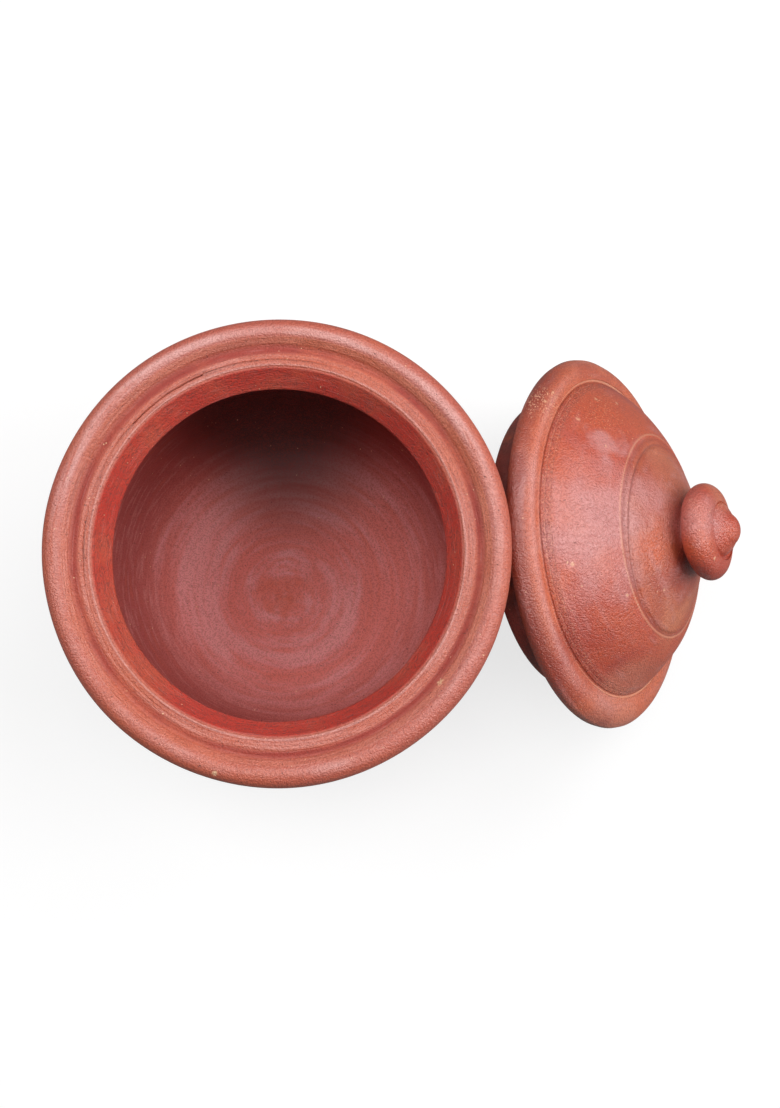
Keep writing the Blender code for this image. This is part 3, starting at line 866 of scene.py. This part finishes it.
clay = Clay("lid_terracotta", LID_CLAY, 0.42)
skin = clay.group(clay_skin, Grain=1300.0, Pores=900.0, Grit=650.0, Clouds=30.0)
wide = clay.group(turned_lines, Across=150.0, Around=2.0, Detail=2.0, Waver=0.3)

under = clay.spread(clay.along, RIM_PLACE + 0.002, RIM_PLACE + 0.006)
# Painted shade on the skirt and under the rim.
shade_under_rim = clay.zone(RIM_PLACE + 0.004, SKIRT_END_PLACE + 0.002, 0.0030)
cap_zone = clay.zone(COVE_PLACE - 0.004, CROWN_PLACE - 0.0042, 0.0030)
rim_zone = clay.zone(LINE_PLACES[-1], RIM_PLACE + 0.002, 0.0006)
edge_zone = clay.zone(LINE_PLACES[-1], CREST_OF_RIM_PLACE - 0.0002, 0.0008)
foot_zone = clay.zone(LINE_PLACES[-1] - 0.0055, LINE_PLACES[-1] - 0.0002, 0.0014)
roll_zone = clay.zone(RIM_PLACE - 0.0070, RIM_PLACE + 0.0030, 0.0036)
sheen_zone = clay.zone(CREST_OF_RIM_PLACE, CREST_OF_RIM_PLACE + 0.0036, 0.0030)

clay.tint(under, LID_UNDER)
clay.tint(shade_under_rim, LID_PAINTED_SHADE_UNDER_RIM)
clay.tint(cap_zone, LID_CAP)
clay.tint(rim_zone, LID_RIM)
clay.tint(clay.product(edge_zone, 0.3), LID_EDGE)
clay.tint(clay.spread(skin.outputs["Clouds"], 0.46, 0.64, 0.6), LID_ORANGE)
clay.tint(clay.spread(skin.outputs["Clouds"], 0.52, 0.36, 0.5), LID_DEEP_RED_AND_SHADE)
for middle, reach, colour, share in FIRE_AND_PAINTED_LIGHT_MARKS:
    mark = clay.group(patch, Middle=middle, Reach=reach, Ragged=32.0)
    clay.tint(clay.product(mark.outputs["Patch"], share), colour)
# On the rim's left side, towards the pot: a painted sheen band along its crest and painted shade on its
# outer roll.
rim_light_and_shade_patch = clay.group(patch, Middle=(-0.076, 0.004, 0.0), Reach=0.095, Ragged=20.0)
clay.tint(clay.product(sheen_zone, rim_light_and_shade_patch.outputs["Patch"], 0.40), LID_PALE_AND_SHEEN)
clay.tint(clay.product(roll_zone, rim_light_and_shade_patch.outputs["Patch"], 0.80), LID_PAINTED_SHADE)
clay.tint(clay.spread(wide.outputs["Lines"], 0.52, 0.74, 0.25), LID_PALE_AND_SHEEN)
torn = clay.group(turned_lines, Across=1000.0, Around=60.0, Detail=3.0, Waver=1.2)
# The chatter marks at the dome's foot: painted shade in their low parts and raw clay on their high parts.
clay.tint(clay.product(foot_zone, clay.spread(torn.outputs["Lines"], 0.50, 0.38, 0.55)), LID_LINE)
clay.tint(clay.product(foot_zone, clay.spread(torn.outputs["Lines"], 0.54, 0.66, 0.45)), LID_RAW)
# Painted shade in the low creases of the grain.
clay.tint(clay.product(skin.outputs["Creases"], 0.40), LID_CREASE)
clay.tint(clay.product(skin.outputs["Pores"], 0.6), LID_PORE)
# The deeper a line is cut, the more painted shade darkens its groove and the more raw clay shows on its
# edge.
for place, (radius, width, depth) in zip(LINE_PLACES, FOOT_LINES):
    groove = clay.zone(place - width * 0.3, place + width * 0.3, width * 0.2)
    clay.tint(clay.product(groove, 0.15 + 400 * depth), LID_LINE)
    raw = clay.zone(place + width * 0.50, place + width * 1.05, width * 0.2)
    clay.tint(clay.product(raw, min(0.65, 1500 * depth)), LID_RAW)
on_top = clay.spread(clay.along, RIM_PLACE, RIM_PLACE - 0.004)
broken = clay.spread(skin.outputs["Clouds"], 0.22, 0.50)
# Each line round the cap is darkened with painted shade, the more the deeper it is cut; a raised burr
# shows raw clay.
for middle, ring_radius, width, depth in CROWN_LINES:
    ring = clay.group(ring_line, Middle=(*middle, 0.0), Radius=ring_radius, Width=width * 0.6)
    on_ring = clay.product(ring.outputs["Line"], on_top)
    if depth < 0:
        clay.tint(clay.product(on_ring, broken, 0.4), LID_RAW)
    else:
        clay.tint(clay.product(on_ring, 900 * depth), LID_LINE)
thumb = (-0.0385, 0.0391, 0.0234)
rubbed = clay.group(patch, Middle=thumb, Reach=0.0110, Ragged=130.0, Stretch=(1.0, 0.75, 1.0))
clay.tint(clay.product(rubbed.outputs["Patch"], 0.40), LID_PALE_AND_SHEEN)
specks = clay.group(patch, Middle=(-0.0250, 0.0570, 0.0160), Reach=0.022, Ragged=600.0)
big_grains = clay.spread(skin.outputs["Grain"], 0.32, 0.42)
clay.tint(clay.product(specks.outputs["Patch"], big_grains), LID_GRIT)
scuff = clay.group(patch, Middle=(-0.0550, 0.0570, 0.0058), Reach=0.0110, Ragged=500.0)
worn_grains = clay.spread(skin.outputs["Grain"], 0.14, 0.26)
clay.tint(clay.product(scuff.outputs["Patch"], worn_grains), LID_RAW)
for middle, reach in LID_CHIPS:
    chip = clay.group(patch, Middle=middle, Reach=reach, Ragged=900.0)
    clay.tint(clay.product(chip.outputs["Patch"], 0.6), LID_GRIT)
clay.tint(clay.product(skin.outputs["Grit"], 0.85), LID_GRIT)

clay.rougher(under, 0.70)
clay.rougher(clay.spread(skin.outputs["Clouds"], 0.35, 0.65, 0.4), 0.52)
clay.raise_by(skin.outputs["Grain"], 0.00030)
clay.raise_by(clay.product(foot_zone, torn.outputs["Lines"]), 0.00060)
clay.raise_by(wide.outputs["Lines"], 0.00025)
clay.raise_by(skin.outputs["Pores"], -0.00015)
lid_clay = clay.finish()
lid.data.materials.append(lid_clay)
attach(lid, "lid")
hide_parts("lid")

# The table and the light: a plain white sheet, and four large soft lamps, one straight above, two
# at the right and one at the left, in a dim room. The sheet looks white and keeps the shadow.
# Each lamp has the way to it, its size in metres and its level.
TABLE_HALF, TABLE_DROP = 4.0, 0.0003
TABLE_DARK, TABLE_LIGHT = 0.15, 0.30
# How bright the sheet glows near the pot and far away, so that it stays white to its far edge.
GLOW_NEAR, GLOW_FAR = (0.4, 0.75), (2.0, 1.0)
LAMP_AIM = Vector((0.05, 0.0, 0.10))
LAMPS = {
    "over_lamp": (Vector((0.0, 0.05, 1.0)), 0.60, 0.25),
    "low_right_lamp": (Vector((0.85, -0.10, 0.52)), 1.00, 0.60),
    "high_right_lamp": (Vector((0.47, 0.33, 0.82)), 1.00, 0.38),
    "left_lamp": (Vector((-0.56, 0.36, 0.75)), 1.00, 0.45),
}
LAMP_DISTANCE = 1.4
ROOM_LEVEL = 0.01
GLOSS_SHARE = 0.2

table = bpy.data.meshes.new("table")
corners = [(-1, -1), (1, -1), (1, 1), (-1, 1)]
table.from_pydata([(x * TABLE_HALF, y * TABLE_HALF, -TABLE_DROP) for x, y in corners], [], [(0, 1, 2, 3)])
sheet = bpy.data.objects.new("table", table)
bpy.context.scene.collection.objects.link(sheet)


def white_to_the_eye(nodes, links):
    """How white a backdrop looks: full in view and through glass, and little in a gloss."""
    seen = add(nodes, "ShaderNodeLightPath", (-1100, 0))
    dimmed = add(nodes, "ShaderNodeMath", (-900, -150), operation="MULTIPLY")
    dimmed.inputs[1].default_value = GLOSS_SHARE
    straight = add(nodes, "ShaderNodeMath", (-900, 50), operation="MAXIMUM")
    either = add(nodes, "ShaderNodeMath", (-720, 0), operation="MAXIMUM")
    links.new(seen.outputs["Is Camera Ray"], straight.inputs[0])
    links.new(seen.outputs["Is Transmission Ray"], straight.inputs[1])
    links.new(seen.outputs["Is Glossy Ray"], dimmed.inputs[0])
    links.new(straight.outputs[0], either.inputs[0])
    links.new(dimmed.outputs[0], either.inputs[1])
    return either.outputs[0]


paper = bpy.data.materials.new("table_paper")
paper.use_nodes = True
nodes, links = paper.node_tree.nodes, paper.node_tree.links
nodes.remove(nodes["Principled BSDF"])
whiteness = white_to_the_eye(nodes, links)
tone = add(nodes, "ShaderNodeMapRange", (-500, 150))
tone.inputs["To Min"].default_value = TABLE_DARK
tone.inputs["To Max"].default_value = TABLE_LIGHT
matte = add(nodes, "ShaderNodeBsdfDiffuse", (-200, 100))
spot_on_table = add(nodes, "ShaderNodeTexCoord", (-1100, -400))
far = add(nodes, "ShaderNodeVectorMath", (-900, -400), operation="LENGTH")
glow_by_distance = add(nodes, "ShaderNodeMapRange", (-700, -400), interpolation_type="SMOOTHSTEP")
for end, (distance, strength) in (("Min", GLOW_NEAR), ("Max", GLOW_FAR)):
    glow_by_distance.inputs["From " + end].default_value = distance
    glow_by_distance.inputs["To " + end].default_value = strength
level = add(nodes, "ShaderNodeMath", (-400, -200), operation="MULTIPLY")
glow = add(nodes, "ShaderNodeEmission", (-200, -100))
blend = add(nodes, "ShaderNodeAddShader", (0, 0))
links.new(whiteness, tone.inputs["Value"])
links.new(tone.outputs["Result"], matte.inputs["Color"])
links.new(spot_on_table.outputs["Object"], far.inputs[0])
links.new(far.outputs["Value"], glow_by_distance.inputs["Value"])
links.new(whiteness, level.inputs[0])
links.new(glow_by_distance.outputs["Result"], level.inputs[1])
links.new(level.outputs[0], glow.inputs["Strength"])
links.new(matte.outputs[0], blend.inputs[0])
links.new(glow.outputs[0], blend.inputs[1])
links.new(blend.outputs[0], nodes["Material Output"].inputs["Surface"])
table.materials.append(paper)

for name, (way, size, lamp_level) in LAMPS.items():
    way.normalize()
    lamp_data = bpy.data.lights.new(name, "AREA")
    lamp_data.shape = "DISK"
    lamp_data.size = size
    lamp_data.energy = lamp_level * (math.pi * LAMP_DISTANCE) ** 2
    lamp = bpy.data.objects.new(name, lamp_data)
    lamp.location = LAMP_AIM + way * LAMP_DISTANCE
    lamp.rotation_euler = (-way).to_track_quat("-Z", "Y").to_euler()
    bpy.context.scene.collection.objects.link(lamp)

room = bpy.data.worlds.new("room")
room.use_nodes = True
nodes, links = room.node_tree.nodes, room.node_tree.links
back = nodes["Background"]
back.inputs["Color"].default_value = (1.0, 1.0, 1.0, 1.0)
strength = add(nodes, "ShaderNodeMapRange", (-300, 0))
strength.inputs["To Min"].default_value = ROOM_LEVEL
strength.inputs["To Max"].default_value = 1.0
links.new(white_to_the_eye(nodes, links), strength.inputs["Value"])
links.new(strength.outputs["Result"], back.inputs["Strength"])
bpy.context.scene.world = room

# The camera: held over the pot, looking almost straight down, as in the photograph. Its place, and
# its turn in degrees, were fitted to the turned edges of the pot and the lid.
FRAME_HEIGHT = 1108
FOCAL_PIXELS = 1448.4
CAMERA_PLACE = (0.03371, -0.04805, 0.72323)
CAMERA_TURN = (4.362, -0.837, -3.682)
camera_data = bpy.data.cameras.new("camera")
camera_data.sensor_width = 36.0
camera_data.lens = FOCAL_PIXELS * camera_data.sensor_width / FRAME_HEIGHT
camera_data.clip_start = 0.01
camera = bpy.data.objects.new("camera", camera_data)
camera.location = CAMERA_PLACE
camera.rotation_euler = [math.radians(angle) for angle in CAMERA_TURN]
bpy.context.scene.collection.objects.link(camera)
bpy.context.scene.camera = camera
bpy.context.scene.view_settings.view_transform = "Standard"
